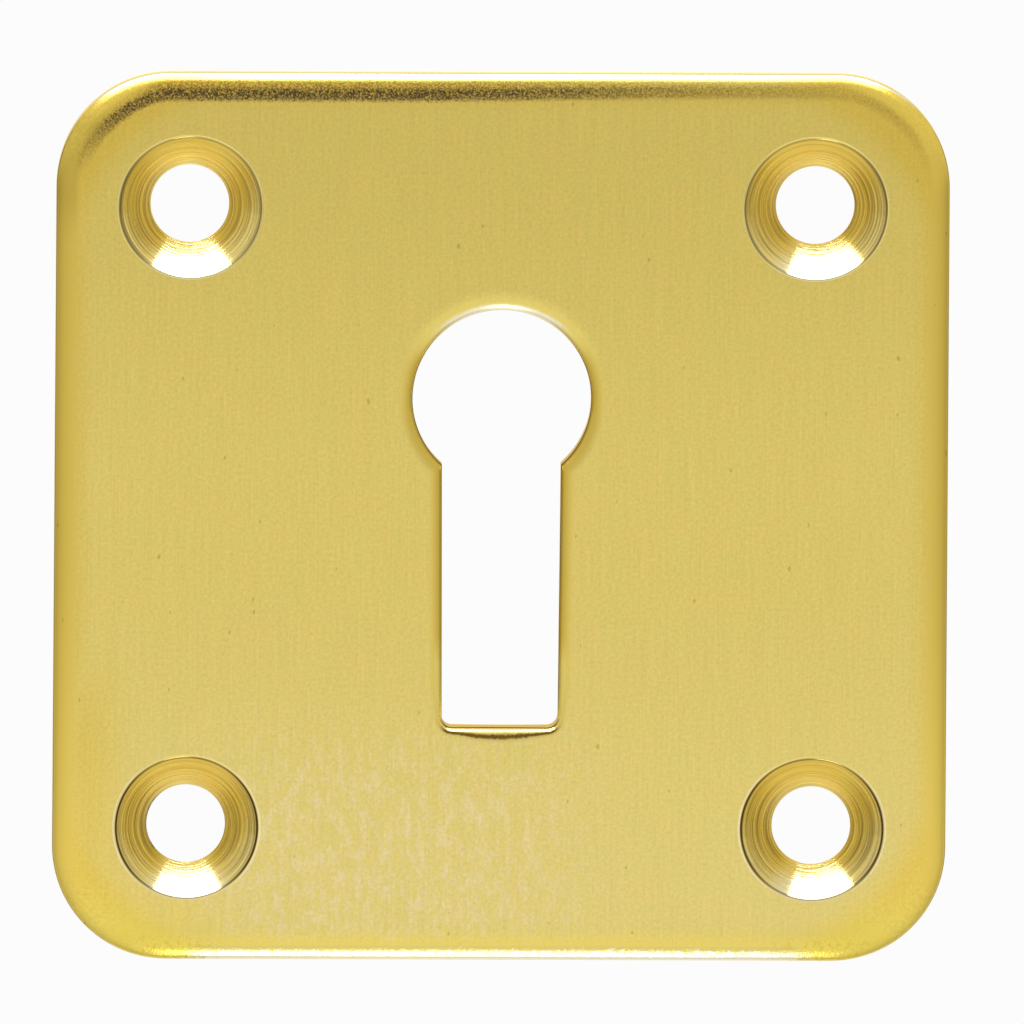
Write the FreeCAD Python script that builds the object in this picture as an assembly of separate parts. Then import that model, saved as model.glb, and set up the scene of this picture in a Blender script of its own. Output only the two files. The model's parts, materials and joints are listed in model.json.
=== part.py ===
import FreeCAD, Part
import math
import os

from FreeCAD import Vector

# Keyhole escutcheon: one plate of sheet brass with a keyhole and four countersunk screw holes.
# It stands upright, as it is fixed: X to the right, Z up, front face towards -Y, in millimetres.
# The origin is the middle of the four screw holes, in the plane of the back face.

# Plate
PLATE_WIDTH = 50.0
PLATE_HEIGHT = 50.0
PLATE_THICKNESS = 2.0
CORNER_RADIUS = 6.4

# Front edge of the outline, drawn down when the plate was blanked
RIM_ROLL_WIDTH = 1.6
RIM_ROLL_DEPTH = 0.7

# Screw holes, countersunk at the front
SCREW_SPACING_X = 35.0
SCREW_SPACING_Z = 35.0
SCREW_HOLE_DIAMETER = 4.4
COUNTERSINK_DIAMETER = 8.0
COUNTERSINK_ANGLE = 90.0
COUNTERSINK_EDGE_RADIUS = 0.2

# Keyhole: a round hole for the key's barrel, over a slot for its bit that narrows a little downwards
BARREL_DIAMETER = 10.0
BARREL_RISE = 6.7
SLOT_TOP_WIDTH = 6.7
SLOT_FOOT_WIDTH = 6.5
SLOT_FOOT_DROP = 11.85
SLOT_CORNER_RADIUS = 0.6

# Front edge of the keyhole, drawn down when it was pierced
KEYHOLE_ROLL_WIDTH = 0.9
KEYHOLE_ROLL_DEPTH = 0.5

# How far a cutting tool reaches past the surface that it cuts
OVERCUT = 0.3

FRONT = -PLATE_THICKNESS
INTO_WALL = Vector(0, 1, 0)


def front_point(x, z):
    """Point in the plane of the front face."""
    return Vector(x, FRONT, z)


def rounded_path(corners, radii, closed):
    """Wire through the corners, with an arc of its own radius in each corner that has one."""
    count = len(corners)
    stops = []
    for i, (corner, radius) in enumerate(zip(corners, radii)):
        if radius == 0:
            stops.append((corner, None, corner))
            continue
        before = (corners[i - 1] - corner).normalize()
        after = (corners[(i + 1) % count] - corner).normalize()
        half = before.getAngle(after) / 2
        reach = radius / math.tan(half)
        inward = (before + after).normalize()
        crown = corner + inward * (radius / math.sin(half) - radius)
        stops.append((corner + before * reach, crown, corner + after * reach))

    edges = []
    for i, (arc_start, crown, arc_end) in enumerate(stops):
        if crown:
            edges.append(Part.Arc(arc_start, crown, arc_end).toShape())
        if i + 1 < count or closed:
            next_start = stops[(i + 1) % count][0]
            edges.append(Part.LineSegment(arc_end, next_start).toShape())
    return Part.Wire(edges)


def plate_outline():
    """Rounded square, counter-clockwise seen from the front, so that the metal lies on its left."""
    x, z = PLATE_WIDTH / 2, PLATE_HEIGHT / 2
    corners = [front_point(-x, -z), front_point(x, -z), front_point(x, z), front_point(-x, z)]
    return rounded_path(corners, [CORNER_RADIUS] * 4, closed=True)


def slot_path(closed):
    """Slot below the middle of the barrel hole, clockwise seen from the front, its top open or closed."""
    top, foot = SLOT_TOP_WIDTH / 2, SLOT_FOOT_WIDTH / 2
    corners = [
        front_point(top, BARREL_RISE),
        front_point(foot, -SLOT_FOOT_DROP),
        front_point(-foot, -SLOT_FOOT_DROP),
        front_point(-top, BARREL_RISE),
    ]
    return rounded_path(corners, [0, SLOT_CORNER_RADIUS, SLOT_CORNER_RADIUS, 0], closed)


def barrel_path():
    """Circle of the barrel hole, clockwise seen from the front, so that the metal lies on its left."""
    circle = Part.Circle(front_point(0, BARREL_RISE), INTO_WALL, BARREL_DIAMETER / 2)
    return Part.Wire(circle.toShape())


def roll_cutter(path, width, depth):
    """What a rolled front edge lacks: the space outside a quarter ellipse, swept along the edge."""
    first = path.OrderedEdges[0]
    start = first.valueAt(first.FirstParameter)
    travel = first.tangentAt(first.FirstParameter)
    outward = INTO_WALL.cross(travel)

    def section_point(out, back):
        return start + outward * out + INTO_WALL * back

    ellipse = Part.BezierCurve()
    ellipse.setPoles([section_point(-width, 0), section_point(0, 0), section_point(0, depth)])
    ellipse.setWeight(2, math.sqrt(0.5))
    beyond = Part.makePolygon([
        section_point(0, depth),
        section_point(OVERCUT, depth),
        section_point(OVERCUT, -OVERCUT),
        section_point(-width, -OVERCUT),
        section_point(-width, 0),
    ])
    section = Part.Wire([ellipse.toShape()] + beyond.Edges)
    return path.makePipeShell([section], True, False)


def countersunk_hole():
    """Screw hole on the origin's axis: a cone with a softened mouth, then a short straight bore."""
    bore = SCREW_HOLE_DIAMETER / 2
    mouth = COUNTERSINK_DIAMETER / 2
    half_angle = math.radians(COUNTERSINK_ANGLE / 2)
    cone_depth = (mouth - bore) / math.tan(half_angle)
    turn = math.pi / 2 - half_angle
    tangent = COUNTERSINK_EDGE_RADIUS * math.tan(turn / 2)

    def section_point(radius, back):
        return Vector(radius, FRONT + back, 0)

    edge_start = section_point(mouth + tangent, 0)
    edge_middle = section_point(
        mouth + tangent - COUNTERSINK_EDGE_RADIUS * math.sin(turn / 2),
        COUNTERSINK_EDGE_RADIUS * (1 - math.cos(turn / 2)),
    )
    edge_end = section_point(
        mouth - tangent * math.sin(half_angle),
        tangent * math.cos(half_angle),
    )
    edge = Part.Arc(edge_start, edge_middle, edge_end).toShape()
    inside = Part.makePolygon([
        edge_end,
        section_point(bore, cone_depth),
        section_point(bore, max(cone_depth, PLATE_THICKNESS) + OVERCUT),
        section_point(0, max(cone_depth, PLATE_THICKNESS) + OVERCUT),
        section_point(0, -OVERCUT),
        section_point(mouth + tangent, -OVERCUT),
        edge_start,
    ])
    section = Part.Face(Part.Wire([edge] + inside.Edges))
    return section.revolve(Vector(0, 0, 0), INTO_WALL, 360)


def escutcheon_plate():
    through = INTO_WALL * PLATE_THICKNESS
    blank = Part.Face(plate_outline()).extrude(through)
    cutters = [
        Part.Face(slot_path(closed=True)).extrude(through),
        Part.Face(barrel_path()).extrude(through),
        roll_cutter(plate_outline(), RIM_ROLL_WIDTH, RIM_ROLL_DEPTH),
        roll_cutter(slot_path(closed=False), KEYHOLE_ROLL_WIDTH, KEYHOLE_ROLL_DEPTH),
        roll_cutter(barrel_path(), KEYHOLE_ROLL_WIDTH, KEYHOLE_ROLL_DEPTH),
    ]
    for side in (-1, 1):
        for level in (-1, 1):
            hole = countersunk_hole()
            hole.translate(Vector(side * SCREW_SPACING_X / 2, 0, level * SCREW_SPACING_Z / 2))
            cutters.append(hole)
    return blank.cut(cutters)


plate = escutcheon_plate()
os.makedirs("parts", exist_ok=True)
plate.exportStep("parts/escutcheon_plate.step")
print("escutcheon_plate: %d solid, %.2f mm3" % (len(plate.Solids), plate.Volume), plate.BoundBox)
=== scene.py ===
"""Looks of the keyhole escutcheon: one plate of satin brass under plain studio light.

The plate's mesh is made in millimetres and scaled to metres at the end. It stands as it is fixed:
X to the right, Z up, the front face towards -Y, and the back face in the plane Y = 0.
"""
import json
import math
import random
from collections import namedtuple

import bmesh
import bpy
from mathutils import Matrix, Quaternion, Vector, noise


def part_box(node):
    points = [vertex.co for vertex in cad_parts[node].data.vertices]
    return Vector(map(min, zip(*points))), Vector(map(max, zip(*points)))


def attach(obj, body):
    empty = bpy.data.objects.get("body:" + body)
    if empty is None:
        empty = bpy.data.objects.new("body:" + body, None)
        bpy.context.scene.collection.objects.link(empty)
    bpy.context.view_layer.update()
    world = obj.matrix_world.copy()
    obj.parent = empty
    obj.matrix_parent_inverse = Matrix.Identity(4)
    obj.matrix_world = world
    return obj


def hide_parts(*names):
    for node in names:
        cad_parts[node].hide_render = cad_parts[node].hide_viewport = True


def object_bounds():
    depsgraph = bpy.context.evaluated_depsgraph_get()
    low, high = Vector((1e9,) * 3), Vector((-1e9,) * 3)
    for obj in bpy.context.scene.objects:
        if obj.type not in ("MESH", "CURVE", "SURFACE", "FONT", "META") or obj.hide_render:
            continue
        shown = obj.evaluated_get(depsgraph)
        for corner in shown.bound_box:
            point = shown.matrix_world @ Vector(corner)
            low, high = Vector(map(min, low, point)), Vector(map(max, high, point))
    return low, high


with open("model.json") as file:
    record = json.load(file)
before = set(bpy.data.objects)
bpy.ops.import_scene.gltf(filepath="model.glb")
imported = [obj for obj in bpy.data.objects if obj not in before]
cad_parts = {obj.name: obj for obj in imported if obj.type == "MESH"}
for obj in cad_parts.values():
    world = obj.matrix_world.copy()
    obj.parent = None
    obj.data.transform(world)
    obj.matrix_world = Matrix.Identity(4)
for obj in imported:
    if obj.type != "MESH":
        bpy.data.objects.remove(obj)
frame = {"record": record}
cad_box = [list(corner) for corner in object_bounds()]

PLATE = "escutcheon_plate"
MM = 0.001

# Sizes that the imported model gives, in millimetres
low, high = (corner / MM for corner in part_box(PLATE))
mounts = {mount["name"]: mount for mount in frame["record"]["mounts"]}
HALF_WIDTH = (high.x - low.x) / 2
HALF_HEIGHT = (high.z - low.z) / 2
THICKNESS = high.y - low.y
FRONT = low.y
SCREW_X = mounts["screw_holes"]["dims"]["spacing_x_mm"] / 2
SCREW_Z = mounts["screw_holes"]["dims"]["spacing_y_mm"] / 2
SCREW_RADIUS = mounts["screw_holes"]["dims"]["hole_r_mm"]
BARREL_RADIUS = mounts["barrel_hole"]["dims"]["r_mm"]
BARREL_RISE = mounts["barrel_hole"]["pos_m"][2] / MM

# Outline, and the front edge that was drawn down when the plate was blanked
CORNER_RADIUS = 6.4
RIM_ROLL_WIDTH = 1.6
RIM_ROLL_DEPTH = 0.7
ROLL_WAVER = 0.06
ROLL_WAVER_PITCH = 5.6

# Share of a roll's swelling that also goes into its depth
DEPTH_SHARE = 0.4

# Slot of the keyhole, as half widths, and the front edge that was drawn down when it was pierced
SLOT_TOP = 3.35
SLOT_FOOT = 3.25
SLOT_DROP = 11.85
SLOT_CORNER_RADIUS = 0.6
KEYHOLE_ROLL_WIDTH = 0.9
KEYHOLE_ROLL_DEPTH = 0.5
CORNER_PINCH = 0.5
CORNER_PINCH_REACH = 1.8

# Sheared wall below a rolled edge: bright where it was burnished, then torn, with a worn back edge
BURNISH_DEPTH = 1.25
TORN_DEPTH = 1.36
TORN_LEAN = 0.04
TORN_MIDDLE_LEAN = 0.024
TORN_WAVER = 0.09
WAVER_PITCH = 1.4
BACK_EDGE = 0.07
BACK_EDGE_ROUNDING = 0.3

# Countersinks, with the rings that the cutter left in them: what each ring takes of the usual
# pitch and height, and its shape, as shares of its own pitch and height
SINK_RADIUS = 4.0
SINK_LEAN = math.radians(45)
SINK_EDGE_RADIUS = 0.2
RING_PITCH = 0.17
RING_PITCH_SHARE = (0.7, 1.3)
RING_HEIGHT = 0.003
RING_HEIGHT_SHARE = (0.3, 1.0)
RING_SHAPE = ((0.0, 1.0), (0.35, 0.1), (0.5, 0.0), (0.8, 0.6))
RING_SEED = 7

# How finely the mesh follows the edges
RIM_SIDE_STEPS = 84
RIM_CORNER_STEPS = 24
BARREL_STEPS = 96
SLOT_SIDE_STEPS = 48
SLOT_CORNER_STEPS = 8
SLOT_FOOT_STEPS = 24
ROLL_STEPS = 14
SINK_STEPS = 128
STEP_TURN = 2 * math.pi / SINK_STEPS
SINK_EDGE_STEPS = 4
JOINT_ROUNDS = 8
FACE_MARGIN = 0.12
SHARP_ANGLE = math.radians(38)

OUT = Vector((0, -1, 0))

# Bands of the plate's surface, in the order of its materials
SATIN, TURNED, SHEARED, PIERCED, BACK = range(5)

# One ring of the mesh beside an edge: how far into the metal and how deep behind the front it lies,
# the band of the surface that leads to it, how far the metal is drawn, and how much the ring wavers
Stop = namedtuple("Stop", "reach depth band drawn waver", defaults=(0.0, 0.0))

# Arc of an edge, counter-clockwise from the front, and the steps of the straight run that follows it
Arc = namedtuple("Arc", "start centre turn steps run_steps")


def on_front(x, z):
    return Vector((x, FRONT, z))


def between(value, limit):
    return max(-limit, min(limit, value))


def only(items, kind):
    return [item for item in items if isinstance(item, kind)]


class PlateMesh:
    """The plate's mesh while it is made. Each vertex of a ring keeps the place on the edge that it was
    made from, and the way from there into the metal."""

    def __init__(self):
        self.bm = bmesh.new()
        self.edge_place = self.bm.verts.layers.float_vector.new("edge_place")
        self.into_metal = self.bm.verts.layers.float_vector.new("into_metal")
        self.drawn = self.bm.verts.layers.float.new("drawn_edge")
        self.front_edges = []
        self.back_edges = []

    def sweep(self, edges, stops):
        """Draws a ring of edges out along its stops, from the front face to the back face."""
        for stop in stops:
            if stop is stops[0]:
                self.front_edges += edges
            else:
                made = bmesh.ops.extrude_edge_only(self.bm, edges=edges)["geom"]
                edges = only(made, bmesh.types.BMEdge)
                for face in only(made, bmesh.types.BMFace):
                    face.material_index = stop.band
            for vertex in ring_vertices(edges):
                self.place(vertex, stop)
        self.back_edges += edges

    def place(self, vertex, stop):
        """Where the metal is drawn down further into the plate, it also sinks a little deeper."""
        place = vertex[self.edge_place]
        way = vertex[self.into_metal]
        depth = stop.depth + stop.waver * noise.noise(place / WAVER_PITCH)
        if stop.band == SATIN:
            depth *= 1 + DEPTH_SHARE * (way.length - 1)
        vertex.co = place + way * stop.reach - OUT * depth
        vertex[self.drawn] = stop.drawn

    def fill_faces(self):
        """Closes the front face and the back face between their rings."""
        for edges, normal, band in ((self.front_edges, OUT, SATIN), (self.back_edges, -OUT, BACK)):
            made = bmesh.ops.triangle_fill(
                self.bm, edges=edges, use_beauty=True, use_dissolve=False, normal=normal,
            )["geom"]
            for face in only(made, bmesh.types.BMFace):
                face.material_index = band

    def finish(self, name, materials):
        """The finished piece, in metres."""
        bm = self.bm
        bmesh.ops.recalc_face_normals(bm, faces=bm.faces)
        for face in bm.faces:
            face.smooth = True
        for layer in (self.edge_place, self.into_metal):
            bm.verts.layers.float_vector.remove(layer)
        bmesh.ops.scale(bm, vec=(MM, MM, MM), verts=bm.verts)
        mesh = bpy.data.meshes.new(name)
        bm.to_mesh(mesh)
        bm.free()
        mesh.set_sharp_from_angle(angle=SHARP_ANGLE)
        for material in materials:
            mesh.materials.append(material)
        piece = bpy.data.objects.new(name, mesh)
        bpy.context.scene.collection.objects.link(piece)
        return piece


def ring_vertices(edges):
    """Vertices of a ring, each once, in the order of its edges."""
    return list(dict.fromkeys(vertex for edge in edges for vertex in edge.verts))


def drawn_line(bm, start, centre, turn, slide, steps):
    """Line of edges drawn from a vertex, turning about the centre and sliding at each step."""
    spun = bmesh.ops.spin(
        bm, geom=[start], cent=centre, axis=OUT, dvec=slide, angle=turn, steps=steps,
        use_merge=False, use_normal_flip=False, use_duplicate=False,
    )
    return only(spun["geom_last"], bmesh.types.BMVert)[0]


def arc_ring(bm, arcs):
    """Ring of edges on the front face: arcs, joined by straight runs."""
    known_edges = set(bm.edges)
    still = Vector((0, 0, 0))
    starts = [bm.verts.new(arc.start) for arc in arcs]
    for number, arc in enumerate(arcs):
        end = drawn_line(bm, starts[number], arc.centre, arc.turn, still, arc.steps)
        next_start = starts[(number + 1) % len(arcs)]
        slide = (next_start.co - end.co) / arc.run_steps
        end = drawn_line(bm, end, still, 0, slide, arc.run_steps - 1)
        bm.edges.new((end, next_start))
    return [edge for edge in bm.edges if edge not in known_edges]


def rolled_edge(width, depth):
    """Stops of a front edge that was drawn down: a flat margin, then a quarter ellipse to the wall."""
    stops = [Stop(width + FACE_MARGIN, 0, SATIN)]
    for step in range(ROLL_STEPS + 1):
        turn = math.pi / 2 * step / ROLL_STEPS
        reach = width * (1 - math.sin(turn))
        drop = depth * (1 - math.cos(turn))
        stops.append(Stop(reach, drop, SATIN, drawn=math.sin(turn)))
    return stops


def sheared_wall(roll_depth, band):
    """Stops of the wall from the roll to the back face."""
    worn = THICKNESS - BACK_EDGE
    rounded = BACK_EDGE * BACK_EDGE_ROUNDING
    return [
        Stop(0, (roll_depth + BURNISH_DEPTH) / 2, band, 1, TORN_WAVER / 2),
        Stop(0, BURNISH_DEPTH, band, 1, TORN_WAVER),
        Stop(TORN_LEAN, TORN_DEPTH, band, 1, TORN_WAVER),
        Stop(TORN_MIDDLE_LEAN, (TORN_DEPTH + worn) / 2, band, 1),
        Stop(TORN_LEAN, worn, band, 1),
        Stop(TORN_LEAN + rounded, THICKNESS - rounded, band, 1),
        Stop(TORN_LEAN + BACK_EDGE, THICKNESS, band, 1),
        Stop(TORN_LEAN + BACK_EDGE + FACE_MARGIN, THICKNESS, BACK),
    ]


def rim(plate):
    """Outer edge of the plate: a rounded square, whose roll wavers a little along the edge."""
    x, z = HALF_WIDTH - CORNER_RADIUS, HALF_HEIGHT - CORNER_RADIUS
    starts = [
        (on_front(x, -HALF_HEIGHT), on_front(x, -z)),
        (on_front(HALF_WIDTH, z), on_front(x, z)),
        (on_front(-x, HALF_HEIGHT), on_front(-x, z)),
        (on_front(-HALF_WIDTH, -z), on_front(-x, -z)),
    ]
    ring = arc_ring(plate.bm, [
        Arc(start, centre, math.pi / 2, RIM_CORNER_STEPS, RIM_SIDE_STEPS) for start, centre in starts
    ])
    for vertex in ring_vertices(ring):
        place = vertex.co.copy()
        core = on_front(between(place.x, x), between(place.z, z))
        swell = 1 + ROLL_WAVER * noise.noise(place / ROLL_WAVER_PITCH)
        vertex[plate.edge_place] = place
        vertex[plate.into_metal] = (core - place).normalized() * swell
    return ring, rolled_edge(RIM_ROLL_WIDTH, RIM_ROLL_DEPTH) + sheared_wall(RIM_ROLL_DEPTH, SHEARED)


def slot_half_width(z):
    return SLOT_TOP + (SLOT_FOOT - SLOT_TOP) * (BARREL_RISE - z) / (BARREL_RISE + SLOT_DROP)


def keyhole_arcs(reach):
    """Arcs of the keyhole's edge, or of the line beside it that lies a reach into the metal."""
    radius = BARREL_RADIUS + reach
    corner = SLOT_CORNER_RADIUS + reach
    # The slot tapers, so the height at which it meets the barrel hole is closed in on
    joint_z = BARREL_RISE
    for _ in range(JOINT_ROUNDS):
        joint_x = slot_half_width(joint_z) + reach
        joint_z = BARREL_RISE - math.sqrt(radius ** 2 - joint_x ** 2)
    round_turn = 2 * math.pi - 2 * math.asin(joint_x / radius)
    side = SLOT_FOOT + reach
    foot = -SLOT_DROP - reach
    x, z = side - corner, foot + corner
    quarter = math.pi / 2
    return [
        Arc(on_front(joint_x, joint_z), on_front(0, BARREL_RISE), round_turn, BARREL_STEPS, SLOT_SIDE_STEPS),
        Arc(on_front(-side, z), on_front(-x, z), quarter, SLOT_CORNER_STEPS, SLOT_FOOT_STEPS),
        Arc(on_front(x, foot), on_front(x, z), quarter, SLOT_CORNER_STEPS, SLOT_SIDE_STEPS),
    ]


def keyhole(plate):
    """Edge of the keyhole: a round hole over a slot, whose roll is pinched at the foot's corners."""
    beside = bmesh.new()
    beside_ring = arc_ring(beside, keyhole_arcs(reach=1))
    ring = arc_ring(plate.bm, keyhole_arcs(reach=0))
    for vertex, partner in zip(ring_vertices(ring), ring_vertices(beside_ring)):
        place = vertex.co.copy()
        corner = on_front(math.copysign(SLOT_FOOT, place.x), -SLOT_DROP)
        nearness = math.exp(-((place - corner).length / CORNER_PINCH_REACH) ** 2)
        swell = 1 - CORNER_PINCH * nearness + ROLL_WAVER * noise.noise(place / WAVER_PITCH)
        vertex[plate.edge_place] = place
        vertex[plate.into_metal] = (partner.co - place) * swell
    beside.free()
    wall = sheared_wall(KEYHOLE_ROLL_DEPTH, PIERCED)
    return ring, rolled_edge(KEYHOLE_ROLL_WIDTH, KEYHOLE_ROLL_DEPTH) + wall


def sink_stops(rng):
    """Stops of a screw hole, as radius and depth: a softened mouth, a turned cone and a short bore."""
    tangent = SINK_EDGE_RADIUS * math.tan(SINK_LEAN / 2)
    stops = [Stop(SINK_RADIUS + tangent + FACE_MARGIN, 0, SATIN)]
    for step in range(SINK_EDGE_STEPS + 1):
        turn = SINK_LEAN * step / SINK_EDGE_STEPS
        radius = SINK_RADIUS + tangent - SINK_EDGE_RADIUS * math.sin(turn)
        band = TURNED if step else SATIN
        stops.append(Stop(radius, SINK_EDGE_RADIUS * (1 - math.cos(turn)), band))
    slant = math.cos(SINK_LEAN)
    radius = stops[-1].reach - RING_PITCH / 2
    while radius > SCREW_RADIUS + RING_PITCH:
        height = RING_HEIGHT * rng.uniform(*RING_HEIGHT_SHARE)
        pitch = RING_PITCH * rng.uniform(*RING_PITCH_SHARE)
        for part, lift in RING_SHAPE:
            ring_radius = radius - pitch * part
            depth = SINK_RADIUS - ring_radius
            stops.append(Stop(ring_radius - height * lift * slant, depth - height * lift * slant, TURNED))
        radius -= pitch
    cone_depth = SINK_RADIUS - SCREW_RADIUS
    stops += [
        Stop(SCREW_RADIUS, cone_depth, TURNED),
        Stop(SCREW_RADIUS, THICKNESS - BACK_EDGE, PIERCED),
        Stop(SCREW_RADIUS + BACK_EDGE, THICKNESS, PIERCED),
        Stop(SCREW_RADIUS + BACK_EDGE + FACE_MARGIN, THICKNESS, BACK),
    ]
    return stops


def countersunk_hole(plate, x, z, rng):
    """Mouth of a screw hole. The reach of its stops is their distance from the hole's axis."""
    centre = on_front(x, z)
    start = centre + Vector((SINK_RADIUS, 0, 0))
    known_edges = set(plate.bm.edges)
    first = plate.bm.verts.new(start)
    steps = SINK_STEPS - 1
    last = drawn_line(plate.bm, first, centre, STEP_TURN * steps, Vector((0, 0, 0)), steps)
    plate.bm.edges.new((last, first))
    ring = [edge for edge in plate.bm.edges if edge not in known_edges]
    for vertex in ring_vertices(ring):
        vertex[plate.into_metal] = (vertex.co - centre).normalized()
        vertex[plate.edge_place] = centre
    return ring, sink_stops(rng)


def plate_piece(materials):
    """The plate. All its edges are drawn first, while the mesh is small and quick to work on."""
    plate = PlateMesh()
    rng = random.Random(RING_SEED)
    edges = [rim(plate), keyhole(plate)]
    for x in (-SCREW_X, SCREW_X):
        for z in (-SCREW_Z, SCREW_Z):
            edges.append(countersunk_hole(plate, x, z, rng))
    for ring, stops in edges:
        plate.sweep(ring, stops)
    plate.fill_faces()
    return plate.finish("brass_plate", materials)


class Socket:
    """A value in a shader. Arithmetic on it adds Math nodes."""

    def __init__(self, graph, socket):
        self.graph = graph
        self.socket = socket

    def math(self, operation, *values):
        return self.graph.node("ShaderNodeMath", {"operation": operation}, dict(enumerate(values)))

    def __add__(self, other):
        return self.math("ADD", self, other)

    def __radd__(self, other):
        return self.math("ADD", other, self)

    def __sub__(self, other):
        return self.math("SUBTRACT", self, other)

    def __rsub__(self, other):
        return self.math("SUBTRACT", other, self)

    def __mul__(self, other):
        return self.math("MULTIPLY", self, other)

    def __rmul__(self, other):
        return self.math("MULTIPLY", other, self)

    def __truediv__(self, other):
        return self.math("DIVIDE", self, other)

    def __pow__(self, other):
        return self.math("POWER", self, other)

    def __abs__(self):
        return self.math("ABSOLUTE", self)

    def most(self, other):
        return self.math("MAXIMUM", self, other)

    def least(self, other):
        return self.math("MINIMUM", self, other)


class Graph:
    """Node tree of a material or of the world."""

    def __init__(self, owner):
        owner.use_nodes = True
        self.tree = owner.node_tree
        self.tree.nodes.clear()

    def node(self, kind, settings=None, sockets=None, output=0):
        """Adds a node and returns one of its outputs. Settings come first, then values or links."""
        made = self.tree.nodes.new(kind)
        for name, value in (settings or {}).items():
            setattr(made, name, value)
        for name, value in (sockets or {}).items():
            if isinstance(value, Socket):
                self.tree.links.new(value.socket, made.inputs[name])
            else:
                made.inputs[name].default_value = value
        return Socket(self, made.outputs[output]) if made.outputs else None

    def place(self):
        """The point on the piece, in millimetres, as a vector and as its three parts."""
        metres = self.node("ShaderNodeTexCoord", output="Object")
        point = self.node("ShaderNodeVectorMath", {"operation": "SCALE"}, {0: metres, "Scale": 1 / MM})
        parts = [self.node("ShaderNodeSeparateXYZ", None, {0: point}, part) for part in range(3)]
        return point, parts

    def stretched(self, point, factors):
        return self.node("ShaderNodeVectorMath", {"operation": "MULTIPLY"}, {0: point, 1: factors})

    def noise(self, point, scale, detail=2.0, roughness=0.5):
        return self.node(
            "ShaderNodeTexNoise", None,
            {"Vector": point, "Scale": scale, "Detail": detail, "Roughness": roughness},
        )

    def rise(self, value, start, end, low=0.0, high=1.0):
        """Smooth rise from low to high as the value goes from start to end."""
        sockets = {"Value": value, "From Min": start, "From Max": end, "To Min": low, "To Max": high}
        return self.node("ShaderNodeMapRange", {"interpolation_type": "SMOOTHSTEP"}, sockets)

    def within(self, value, start, full, fade, end):
        """Smooth rise from 0 to 1 between start and full, and fall to 0 between fade and end."""
        return self.rise(value, start, full) * self.rise(value, end, fade)

    def blend(self, share, colour, other):
        return self.node("ShaderNodeMix", {"data_type": "RGBA"}, {0: share, 6: colour, 7: other}, 2)

    def joined(self, *parts):
        return self.node("ShaderNodeCombineXYZ", None, dict(enumerate(parts)))

    def length(self, across, along):
        return (across ** 2 + along ** 2) ** 0.5

    def tinted(self, colour, tint):
        return self.node("ShaderNodeVectorMath", {"operation": "MULTIPLY"}, {0: colour, 1: tint})

    def dim(self, colour, factor):
        """A colour times a number that changes over the surface."""
        return self.tinted(colour, self.joined(factor, factor, factor))

    def bump(self, height):
        """Normal of a surface whose height is given in millimetres."""
        return self.node("ShaderNodeBump", None, {"Height": height, "Strength": 1.0, "Distance": MM})


def rgba(red, green, blue):
    return (red, green, blue, 1.0)


def brass(name, build):
    """Metal material. The build function gives its colour, roughness and height in millimetres, and
    the shader's constant settings."""
    material = bpy.data.materials.new(name)
    graph = Graph(material)
    colour, roughness, height, settings = build(graph)
    shader = graph.node("ShaderNodeBsdfPrincipled", None, {
        "Base Color": colour, "Roughness": roughness, "Metallic": 1.0, "Normal": graph.bump(height),
        **settings,
    })
    graph.node("ShaderNodeOutputMaterial", None, {"Surface": shader})
    return material


def beyond(value, limit):
    """How far a value lies beyond a limit on either side of zero."""
    return (abs(value) - limit).most(0.0)


# Colours of the front face, hazy on its flat and clear at its edges, at the top, middle and foot; they grow
# lighter towards the foot, which is painted light
HAZY = (rgba(0.667, 0.521, 0.130), rgba(0.772, 0.610, 0.167), rgba(0.828, 0.671, 0.218))
CLEAR = (rgba(0.66, 0.47, 0.08), rgba(0.69, 0.495, 0.085), rgba(0.86, 0.635, 0.118))
GREENER = rgba(0.985, 1.0, 0.97)
REDDER = rgba(1.01, 0.985, 0.97)
SMEAR = rgba(0.87, 0.71, 0.36)
# Painted highlight on the steep part of the edges' rolls
EDGE_HIGHLIGHT = rgba(0.84, 0.68, 0.17)
LOWER_EDGE = rgba(0.85, 0.67, 0.125)
# Painted reflection on the rolls at the upper corners
SHOULDER_REFLECTION = rgba(0.87, 0.64, 0.11)
GLANCING = rgba(1.0, 0.92, 0.66)

# Grainy band that the brushing left out along the upper edge, which towards the right is painted shade,
# and the brown fringe outside it: their colours, and how far from the outline they start, are full, fade and
# end, in millimetres
DARK_BAND = (0.60, 0.98, 1.30, 1.62)
DARK_LEFT = rgba(0.10, 0.065, 0.030)
DARK_RIGHT = rgba(0.27, 0.165, 0.030)
FRINGE = (0.26, 0.52, 1.00, 1.30)
FRINGE_LIGHT = rgba(0.74, 0.50, 0.070)
FRINGE_DARK = rgba(0.33, 0.205, 0.035)

# Colours where the edges roll over, among them painted highlights, a painted glow and painted shade
ROLL_HIGHLIGHT = rgba(0.96, 0.91, 0.68)
BEFORE_HIGHLIGHT = rgba(0.70, 0.57, 0.20)
BARREL_GLOW = rgba(0.90, 0.74, 0.20)
FOOT_HIGHLIGHT = rgba(0.92, 0.74, 0.27)
FOOT_DARK_BAND = rgba(0.130, 0.060, 0.003)
# Painted shade where the foot's roll ends
FOOT_LINE = rgba(0.10, 0.06, 0.01)
RIM_LINE = rgba(0.14, 0.09, 0.022)
HOLE_LINE = rgba(0.06, 0.036, 0.004)
STAIN = rgba(0.62, 0.48, 0.02)
SINK_LIP_HIGHLIGHT = rgba(1.0, 0.92, 0.72)

# Height of the grains where the surface is worn, and of the brushing, in millimetres
GRAIN_HEIGHT = 0.008
BRUSH_HEIGHT = 0.0010


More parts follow.
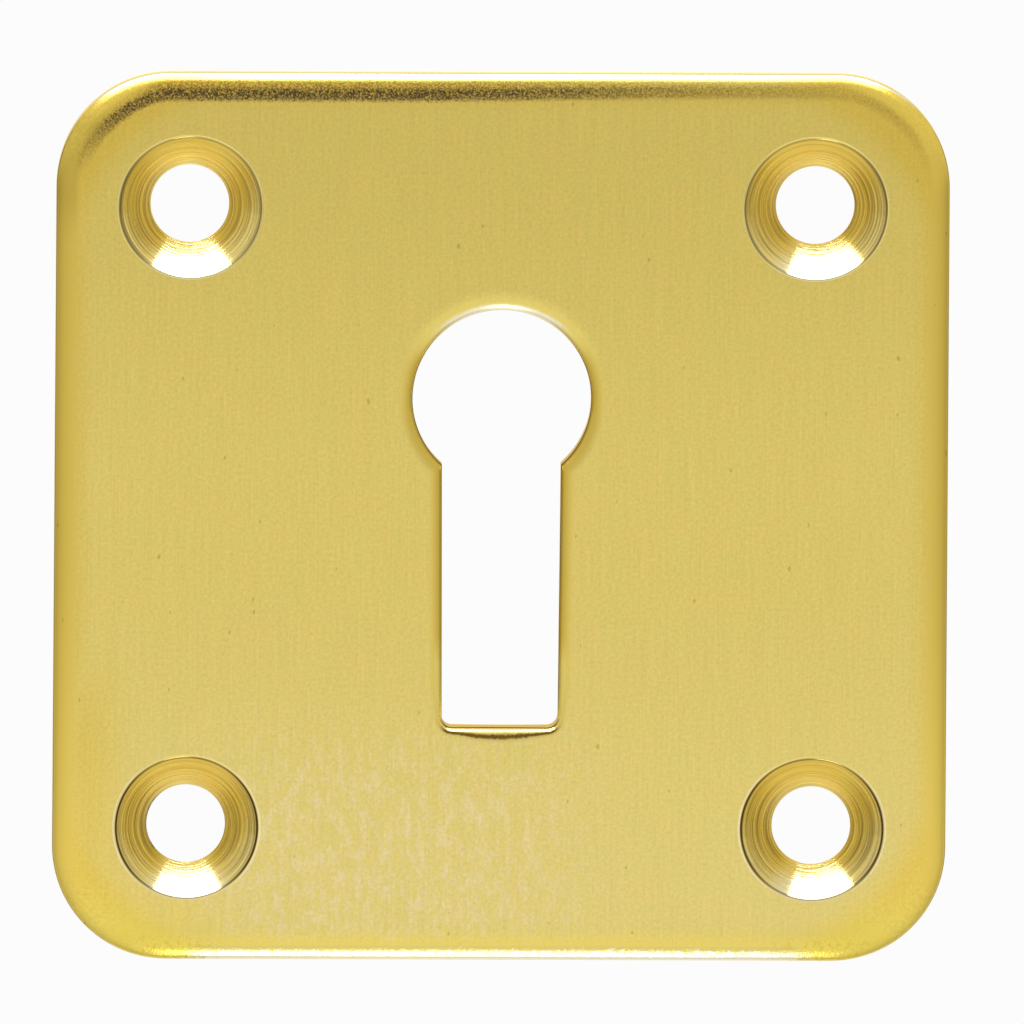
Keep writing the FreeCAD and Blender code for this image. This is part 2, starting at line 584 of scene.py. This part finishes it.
class FrontFace:
    """Colour of the front face, in layers that share its places, in millimetres, and its noises."""

    def __init__(self, graph):
        self.graph = graph
        self.point, (self.x, _, self.z) = graph.place()
        self.drawn = graph.node("ShaderNodeAttribute", {"attribute_name": "drawn_edge"}, None, "Fac")
        past_x = beyond(self.x, HALF_WIDTH - CORNER_RADIUS)
        past_z = beyond(self.z, HALF_HEIGHT - CORNER_RADIUS)
        self.rim_reach = CORNER_RADIUS - graph.length(past_x, past_z)
        self.corner = graph.rise(past_x.least(past_z), 0.0, 3.0)
        self.inside = graph.rise(self.rim_reach, 3.0, 4.0)
        self.upper = graph.rise(self.z, 24.0, 0.0)
        self.lower = graph.rise(self.z, 0.0, -24.0)
        # Share of the upper band: unbrushed grainy metal to the left, painted shade towards the right
        self.unbrushed_and_shade = graph.rise(self.z, 19.0, 23.6) * graph.rise(self.x, 24.0, -8.0, 0.22, 1.0)
        self.grains = graph.noise(self.point, 9.5, 1.0, 0.6)
        self.ragged = graph.noise(self.point, 5.0, 2.0, 0.7)

    def downwards(self, colours):
        # Top, middle and foot colours: lighter towards the foot, which is painted light
        top, middle, foot = colours
        return self.graph.blend(self.lower, self.graph.blend(self.upper, top, middle), foot)

    def hazy_flat(self):
        """Brushed flat, a little patchy, lighter towards the foot as painted light, with pale smears towards
        the foot.
        """
        graph = self.graph
        patches = graph.noise(self.point, 0.55, 2.0, 0.6)
        tint = graph.blend(graph.rise(patches, 0.35, 0.7), GREENER, REDDER)
        smears = graph.noise(graph.stretched(self.point, (1.5, 1.0, 0.7)), 1.0, 4.0, 0.90)
        smear_place = graph.rise(self.z, -9.0, -17.0) * graph.rise(abs(self.x + 6.5), 16.0, 4.0)
        smeared = graph.rise(smears, 0.46, 0.60) * smear_place * 0.8
        return graph.blend(smeared, graph.tinted(self.downwards(HAZY), tint), SMEAR)

    def clear_edges(self):
        """Yellower edges, lighter towards the foot as painted light, with painted highlights in the middle
        of the upper and lower one and round the keyhole, and a painted reflection at the upper corners.
        """
        graph, x, z = self.graph, self.x, self.z
        # Painted highlight on the steep part of the rolls, in the middle of the upper and lower edge and at
        # the keyhole's ends
        lighter = graph.rise(beyond(z, 20.0), 1.0, 4.0) * graph.rise(abs(x), 20.0, 13.0)
        keyhole_ends = graph.rise(abs(z - 1.0), 7.5, 9.5) * graph.rise(self.rim_reach, 4.0, 5.0)
        lighter = lighter.most(keyhole_ends) * graph.rise(self.drawn, 0.3, 0.7)
        colour = graph.blend(lighter, self.downwards(CLEAR), EDGE_HIGHLIGHT)
        colour = graph.blend(graph.rise(z, -20.5, -23.5) * 0.8, colour, LOWER_EDGE)
        # Painted reflection on the rolls at the upper corners
        shoulder = graph.rise(abs(x), 15.0, 21.0) * graph.rise(z, 18.0, 22.0)
        shoulder = shoulder * graph.rise(self.rim_reach, 1.2, 0.7)
        return graph.blend(shoulder, colour, SHOULDER_REFLECTION)

    def edge_share(self):
        """1 in the clear edges and corners, which are wider at the foot's left side, 0 on the flat."""
        graph, x, z = self.graph, self.x, self.z
        corner_reach = graph.length(beyond(x, 14.0), beyond(z, 14.0))
        share = graph.rise(self.rim_reach, 2.4, 0.3).most(graph.rise(corner_reach, 9.0, 11.0))
        share = share.most(graph.rise(self.drawn, 0.05, 0.75))
        foot_left = graph.rise(z, -6.0, -13.0) * graph.rise(x, -12.0, -20.0)
        return share.most(graph.rise(self.rim_reach, 5.0, 1.5) * foot_left * 0.7)

    def grainy_band(self, colour):
        """Band along the upper edge, darkest to the left, with its fringe: unbrushed grainy metal, and
        towards the right painted shade.
        """
        graph, x = self.graph, self.x
        depth = self.rim_reach + (self.ragged - 0.5) * 0.38
        depth = depth - self.corner * 0.28 + graph.rise(x, -6.0, 12.0) * 0.22
        fringe_grains = graph.blend(graph.rise(self.grains, 0.35, 0.62), FRINGE_LIGHT, FRINGE_DARK)
        fringe = graph.within(depth, *FRINGE) * (1 - self.corner * 0.6)
        colour = graph.blend(fringe * self.unbrushed_and_shade * 0.9, colour, fringe_grains)
        # The band's colour, from unbrushed metal on the left to painted shade on the right
        band_darkness = graph.blend(graph.rise(x, 2.0, 18.0), DARK_LEFT, DARK_RIGHT)
        dark = graph.within(depth, *DARK_BAND) * self.unbrushed_and_shade * (0.80 + (self.grains - 0.5) * 2.5)
        return graph.blend(dark.most(0.0).least(1.0), colour, band_darkness)

    def highlighted_rolls(self, colour):
        """Painted highlights where the lower edge, the upper edge's end and the barrel hole's top roll over,
        painted shade just before the lower one, and a painted glow round the barrel hole's top.
        """
        graph, x, z, drawn = self.graph, self.x, self.z, self.drawn
        middle = graph.rise(abs(x), 18.0, 16.0)
        # Painted shade just before the lower edge's painted highlight
        before = graph.rise(z, -23.2, -23.8) * graph.within(drawn, 0.42, 0.54, 0.68, 0.80)
        colour = graph.blend(before * middle * 0.75, colour, BEFORE_HIGHLIGHT)
        # Painted highlights on the rolls, near white
        frayed = graph.rise(drawn + (self.ragged - 0.5) * 0.8, 0.60, 0.80)
        pale = graph.rise(z, -23.4, -24.2) * middle * frayed
        pale = pale.most(graph.rise(drawn, 0.93, 0.97) * graph.rise(z, 23.0, 24.0))
        hole_top = graph.rise(z, 10.0, 11.3) * self.inside
        pale = pale.most(hole_top * graph.rise(drawn + (self.ragged - 0.5) * 0.24, 0.42, 0.70))
        colour = graph.blend(pale * 0.9, colour, ROLL_HIGHLIGHT)
        # Painted glow round the barrel hole's top
        halo = graph.rise(graph.length(x, z - BARREL_RISE) - BARREL_RADIUS, 1.4, 0.4)
        halo = halo * graph.rise(z, 8.5, 11.0) * (1 - pale)
        return graph.blend(halo * 0.6, colour, BARREL_GLOW)

    def slot_foot(self, colour):
        """Painted highlight on the roll at the slot's foot, darkened in a wavy band where it starts, and
        painted shade where it ends.
        """
        graph, drawn = self.graph, self.drawn
        foot = graph.rise(self.z, 0.7 - SLOT_DROP, 0.1 - SLOT_DROP) * graph.rise(abs(self.x), 3.5, 3.0)
        foot = foot * graph.rise(self.rim_reach, 2.5, 3.5)
        # Painted highlight on the foot's roll
        colour = graph.blend(foot * graph.rise(drawn, 0.54, 0.68) * 0.9, colour, FOOT_HIGHLIGHT)
        wavy = drawn + (self.ragged - 0.5) * 0.27
        darkened = foot * graph.rise(abs(wavy - 0.45), 0.25, 0.05)
        colour = graph.blend(darkened * 0.92, colour, FOOT_DARK_BAND)
        # Painted shade where the foot's roll meets the wall
        return graph.blend(foot * graph.rise(drawn, 0.78, 0.87) * 0.9, colour, FOOT_LINE)

    def lines_and_stains(self, colour):
        """Dark lines where the rolls end, and stains to both sides of the lower edge."""
        graph, x, z, drawn = self.graph, self.x, self.z, self.drawn
        rim_line = graph.rise(drawn, 0.955, 0.985) * graph.within(z, -24.8, -23.6, 20.0, 23.0)
        colour = graph.blend(rim_line * 0.8, colour, RIM_LINE)
        hole_line = graph.rise(drawn, 0.91, 0.97) * self.inside * graph.rise(z, 11.0, 9.0)
        colour = graph.blend(hole_line * 0.95, colour, HOLE_LINE)
        stain = graph.rise(self.ragged, 0.50, 0.60) * graph.rise(z, -22.6, -23.8)
        stain = stain * graph.within(abs(x), 14.0, 17.0, 20.5, 22.5)
        return graph.blend(stain * 0.45, colour, STAIN)

    def sink_lip_highlights(self, colour):
        """Painted highlight on the lip round each countersink, brightest at the sides of the lower ones."""
        graph = self.graph
        radius, sideways, _ = hole_place(graph, self.x, self.z)
        # Painted highlight just outside each countersink's mouth
        lip = graph.rise(abs(radius - SINK_RADIUS - 0.12), 0.05, 0.02) * (0.1 + 0.9 * sideways)
        return graph.blend(lip * (0.05 + 0.65 * self.lower), colour, SINK_LIP_HIGHLIGHT)


def satin_face(graph):
    """Front face, brushed up and down, lighter and hazier towards the foot, which is painted light, with
    clear edges.
    """
    face = FrontFace(graph)
    point, x, z, drawn, ragged = face.point, face.x, face.z, face.drawn, face.ragged
    colour = graph.blend(face.edge_share(), face.hazy_flat(), face.clear_edges())
    layers = (face.grainy_band, face.highlighted_rolls, face.slot_foot, face.lines_and_stains, face.sink_lip_highlights)
    for layer in layers:
        colour = layer(colour)

    # Brushing on the flat, spots in the corners, painted shade on the upper left one's outer side, and a few
    # pits
    brushed = graph.noise(graph.stretched(point, (9.0, 1.0, 0.2)), 1.0, 2.0, 0.65)
    streaks = graph.noise(graph.stretched(point, (2.2, 1.0, 0.12)), 1.0, 2.0, 0.6)
    flat = 1 - graph.rise(drawn, 0.05, 0.5)
    shade = ((brushed - 0.5) * 0.16 + (streaks - 0.5) * 0.07 + (ragged - 0.5) * 0.36) * flat
    shade = shade + (ragged - 0.5) * (1 - flat) * face.corner * 0.4
    # Painted shade: darker on the left rim near the upper left corner
    upper_left_shade = graph.rise(x, -21.3, -22.8) * graph.within(z, 15.0, 19.0, 22.0, 23.2)
    shade = shade - upper_left_shade * graph.rise(face.rim_reach, 1.4, 0.9) * 0.17
    pits = graph.noise(graph.stretched(point, (3.0, 1.0, 1.6)), 1.0, 0.0, 0.5)
    colour = graph.dim(colour, 1 + shade - graph.rise(pits, 0.83, 0.86) * 0.25)

    roughness = 0.29 + (streaks - 0.5) * 0.06 - (1 - flat) * 0.07
    peel = graph.within(drawn, 0.02, 0.16, 0.7, 0.95) * graph.rise(z, 19.5, 22.6)
    worn = peel * (0.2 + 0.8 * face.unbrushed_and_shade) + graph.rise(z, -22.0, -24.0)
    height = brushed * BRUSH_HEIGHT * flat + face.grains * worn * GRAIN_HEIGHT
    return colour, roughness, height, {"Specular Tint": GLANCING}


def hole_place(graph, x, z):
    """Distance from the nearest screw hole's axis, and how far to the side of it and below it."""
    across = abs(x) - SCREW_X
    radius = graph.length(across, abs(z) - SCREW_Z)
    drop = (z.math("SIGN", z) * SCREW_Z - z) / radius
    return radius, graph.rise(abs(across) / radius, 0.45, 0.95), graph.rise(drop, 0.72, 0.92)


# Colours of the countersinks, with painted shade on their sides and at the mouth, and a painted highlight at
# their foot
CONE = rgba(0.93, 0.745, 0.235)
CONE_SIDE_SHADE = rgba(0.75, 0.61, 0.225)
CONE_FOOT_HIGHLIGHT = rgba(0.88, 0.82, 0.58)
CONE_GREENER = rgba(0.97, 1.02, 1.0)
CONE_REDDER = rgba(1.03, 0.98, 1.0)
CONE_GLANCING = rgba(1.0, 0.86, 0.50)
MOUTH_SHADE = rgba(0.060, 0.024, 0.0)
BORE_BURR = rgba(0.09, 0.055, 0.02)


def turned_cone(graph):
    """Countersink: bright cutter rings round the hole, painted shade on its sides, a painted highlight at
    its foot, a dark line of painted shade at the mouth, and a ragged burr at the bore of the lower left one."""
    point, (x, _, z) = graph.place()
    radius, sideways, below = hole_place(graph, x, z)
    rings = graph.noise(graph.joined(radius * 10.0, x * 0.12, z * 0.12), 1.0, 2.0, 0.7)
    scratches = graph.noise(graph.joined(radius * 40.0, x * 0.6, z * 0.6), 1.0, 2.0, 0.6)
    patches = graph.noise(point, 1.3, 2.0)
    # Painted shade: darker on the cone's sides
    colour = graph.blend(sideways, CONE, CONE_SIDE_SHADE)
    colour = graph.tinted(colour, graph.blend(patches, CONE_GREENER, CONE_REDDER))
    colour = graph.dim(colour, 1 + (rings - 0.5) * (0.9 + 1.5 * sideways))
    # Painted highlight: pale at the cone's foot
    colour = graph.blend(below * (0.3 + patches * 0.5), colour, CONE_FOOT_HIGHLIGHT)
    # Painted shade: dark line at the mouth, weaker towards the top
    mouth = graph.rise(abs(radius - SINK_RADIUS + 0.04), 0.10, 0.03)
    mouth = mouth * (0.65 + 0.35 * sideways) * graph.rise(z, 30.0, -12.0, 0.6, 1.0)
    colour = graph.blend(mouth * 0.95, colour, MOUTH_SHADE)
    burr = graph.rise(radius, SCREW_RADIUS + 0.09, SCREW_RADIUS + 0.03) * graph.rise(x, -19.0, -19.4)
    burr = burr * graph.rise(graph.noise(point, 1.6, 3.0, 0.7), 0.50, 0.56) * graph.rise(z, 0.0, -5.0)
    colour = graph.blend(burr * 0.8, colour, BORE_BURR)
    roughness = 0.13 + (rings - 0.5) * 0.1
    height = rings * 0.006 + scratches * 0.003
    return colour, roughness, height, {"Specular Tint": CONE_GLANCING}


def sheared_edge(burnished, ragged, glancing):
    """Builds a wall that is burnished towards the front and torn towards the back, in these colours."""
    def build(graph):
        point, (_, y, _) = graph.place()
        torn = graph.rise(y, FRONT + BURNISH_DEPTH - 0.05, FRONT + TORN_DEPTH)
        scores = graph.noise(graph.stretched(point, (6.0, 0.4, 6.0)), 1.0, 3.0, 0.6)
        grains = graph.noise(point, 9.0, 4.0, 0.7)
        colour = graph.blend(torn, burnished, ragged)
        colour = graph.dim(colour, 1 + (grains - 0.5) * 0.4)
        roughness = 0.3 + torn * 0.22
        height = scores * 0.004 * (1 - torn) + grains * 0.03 * torn
        return colour, roughness, height, {"Specular Tint": glancing}
    return build


def dull_back(graph):
    """Back face, as the sheet was rolled, with faint stains."""
    point, _ = graph.place()
    rolled = graph.noise(graph.stretched(point, (5.0, 1.0, 0.2)), 1.0, 4.0, 0.6)
    stained = graph.rise(graph.noise(point, 0.16, 6.0, 0.6), 0.35, 0.75)
    colour = graph.blend(stained, rgba(0.77, 0.605, 0.165), rgba(0.70, 0.52, 0.14))
    colour = graph.dim(colour, 1 + (rolled - 0.5) * 0.2)
    roughness = 0.31 + stained * 0.05
    height = rolled * 0.0016
    return colour, roughness, height, {"Specular Tint": GLANCING}


# Studio, in metres. The floor lies below the plate's lower edge, and the under light just above it.
FLOOR_DROP = 0.10
FLOOR_SIZE = 12.0
FLOOR_GLOW = 0.96
GLOW_BESIDE = 0.6
SOFTBOX_SIZE = (0.20, 0.148)
SOFTBOX_PLACE = (-0.016, -0.003, 0.1475)
SOFTBOX_RADIANCE = 7.0
UNDER_LIGHT_SIZE = (0.034, 0.056)
UNDER_LIGHT_PLACE = (-0.001, -0.054, cad_box[0][2] - 0.098)
UNDER_LIGHT_RADIANCE = 2.6


def seen(graph):
    """1 for rays of the camera and of reflections, 0 for the light on other surfaces."""
    path = [graph.node("ShaderNodeLightPath", output=name)
            for name in ("Is Camera Ray", "Is Glossy Ray", "Is Transmission Ray")]
    return path[0].most(path[1]).most(path[2])


def stage_material(name, emission, share):
    """Pale matt material that shows as the given brightness in the view and in reflections."""
    material = bpy.data.materials.new(name)
    graph = Graph(material)
    matt = graph.node("ShaderNodeBsdfDiffuse", None, {"Color": rgba(0.8, 0.8, 0.8)})
    glow = graph.node("ShaderNodeEmission", None, {"Strength": emission(graph)})
    mixed = graph.node("ShaderNodeMixShader", None, {0: seen(graph) * share, 1: matt, 2: glow})
    graph.node("ShaderNodeOutputMaterial", None, {"Surface": mixed})
    return material


def floor_glow(graph):
    """White in the view. In reflections it is brightest in front of the plate and dimmer beside it."""
    metres = graph.node("ShaderNodeTexCoord", output="Object")
    x, y = [graph.node("ShaderNodeSeparateXYZ", None, {0: metres}, part) for part in range(2)]
    distance = graph.length(x, y)
    glossy = graph.node("ShaderNodeLightPath", output="Is Glossy Ray")
    reflected = GLOW_BESIDE + (1 - GLOW_BESIDE) * abs(y) / (distance + 0.01)
    return 1 + glossy * (reflected - 1)


def studio_floor():
    bm = bmesh.new()
    bmesh.ops.create_grid(bm, x_segments=2, y_segments=2, size=FLOOR_SIZE / 2)
    bmesh.ops.translate(bm, vec=(0, 0, cad_box[0][2] - FLOOR_DROP), verts=bm.verts)
    mesh = bpy.data.meshes.new("studio_floor")
    bm.to_mesh(mesh)
    bm.free()
    mesh.materials.append(stage_material("pale_floor", floor_glow, FLOOR_GLOW))
    floor = bpy.data.objects.new("studio_floor", mesh)
    bpy.context.scene.collection.objects.link(floor)


def area_lamp(name, size, place, radiance, facing_up=False):
    """Rectangular lamp that faces down, or up, and has the given brightness all over."""
    lamp = bpy.data.lights.new(name, "AREA")
    lamp.shape = "RECTANGLE"
    lamp.size, lamp.size_y = size
    lamp.energy = math.pi * size[0] * size[1] * radiance
    stand = bpy.data.objects.new(name, lamp)
    stand.location = place
    if facing_up:
        stand.rotation_euler = (math.pi, 0, 0)
    stand.visible_camera = False
    bpy.context.scene.collection.objects.link(stand)


def world_light():
    """White all round in the view and in reflections, and softer as light on matt surfaces."""
    world = bpy.data.worlds.new("white_room")
    bpy.context.scene.world = world
    graph = Graph(world)
    background = graph.node("ShaderNodeBackground", None, {"Strength": 0.5 + 0.5 * seen(graph)})
    graph.node("ShaderNodeOutputWorld", None, {"Surface": background})


# Camera: as far up, to the left and rolled as the photograph shows, with the plate as large as
# there. Lengths are in millimetres.
VIEW_RISE = math.radians(7.5)
VIEW_TURN = math.radians(-1.6)
VIEW_ROLL = math.radians(0.40)
VIEW_WIDTH = 57.30
VIEW_DISTANCE = 400.0
AIM_RIGHT = 0.600
AIM_UP = 0.358


def camera():
    towards = Vector((
        math.sin(VIEW_TURN) * math.cos(VIEW_RISE),
        -math.cos(VIEW_TURN) * math.cos(VIEW_RISE),
        math.sin(VIEW_RISE),
    ))
    turn = (-towards).to_track_quat("-Z", "Y") @ Quaternion((0, 0, 1), VIEW_ROLL)
    aim = on_front(0, 0) + turn @ Vector((AIM_RIGHT, AIM_UP, 0))
    data = bpy.data.cameras.new("camera")
    data.type = "ORTHO"
    data.ortho_scale = VIEW_WIDTH * MM
    data.clip_start = 0.01
    data.clip_end = 10.0
    viewer = bpy.data.objects.new("camera", data)
    viewer.location = (aim + towards * VIEW_DISTANCE) * MM
    viewer.rotation_mode = "QUATERNION"
    viewer.rotation_quaternion = turn
    bpy.context.scene.collection.objects.link(viewer)
    bpy.context.scene.camera = viewer


piece = plate_piece([
    brass("satin_brass", satin_face),
    brass("turned_brass", turned_cone),
    brass("sheared_brass", sheared_edge(
        rgba(0.86, 0.68, 0.24), rgba(0.72, 0.54, 0.18), rgba(1.0, 0.94, 0.75))),
    brass("pierced_brass", sheared_edge(
        rgba(0.72, 0.52, 0.14), rgba(0.56, 0.38, 0.10), rgba(1.0, 0.82, 0.40))),
    brass("back_brass", dull_back),
])
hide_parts(PLATE)
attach(piece, "root")

studio_floor()
area_lamp("softbox", SOFTBOX_SIZE, SOFTBOX_PLACE, SOFTBOX_RADIANCE)
area_lamp("under_light", UNDER_LIGHT_SIZE, UNDER_LIGHT_PLACE, UNDER_LIGHT_RADIANCE, facing_up=True)
world_light()
camera()
bpy.context.scene.view_settings.view_transform = "Standard"
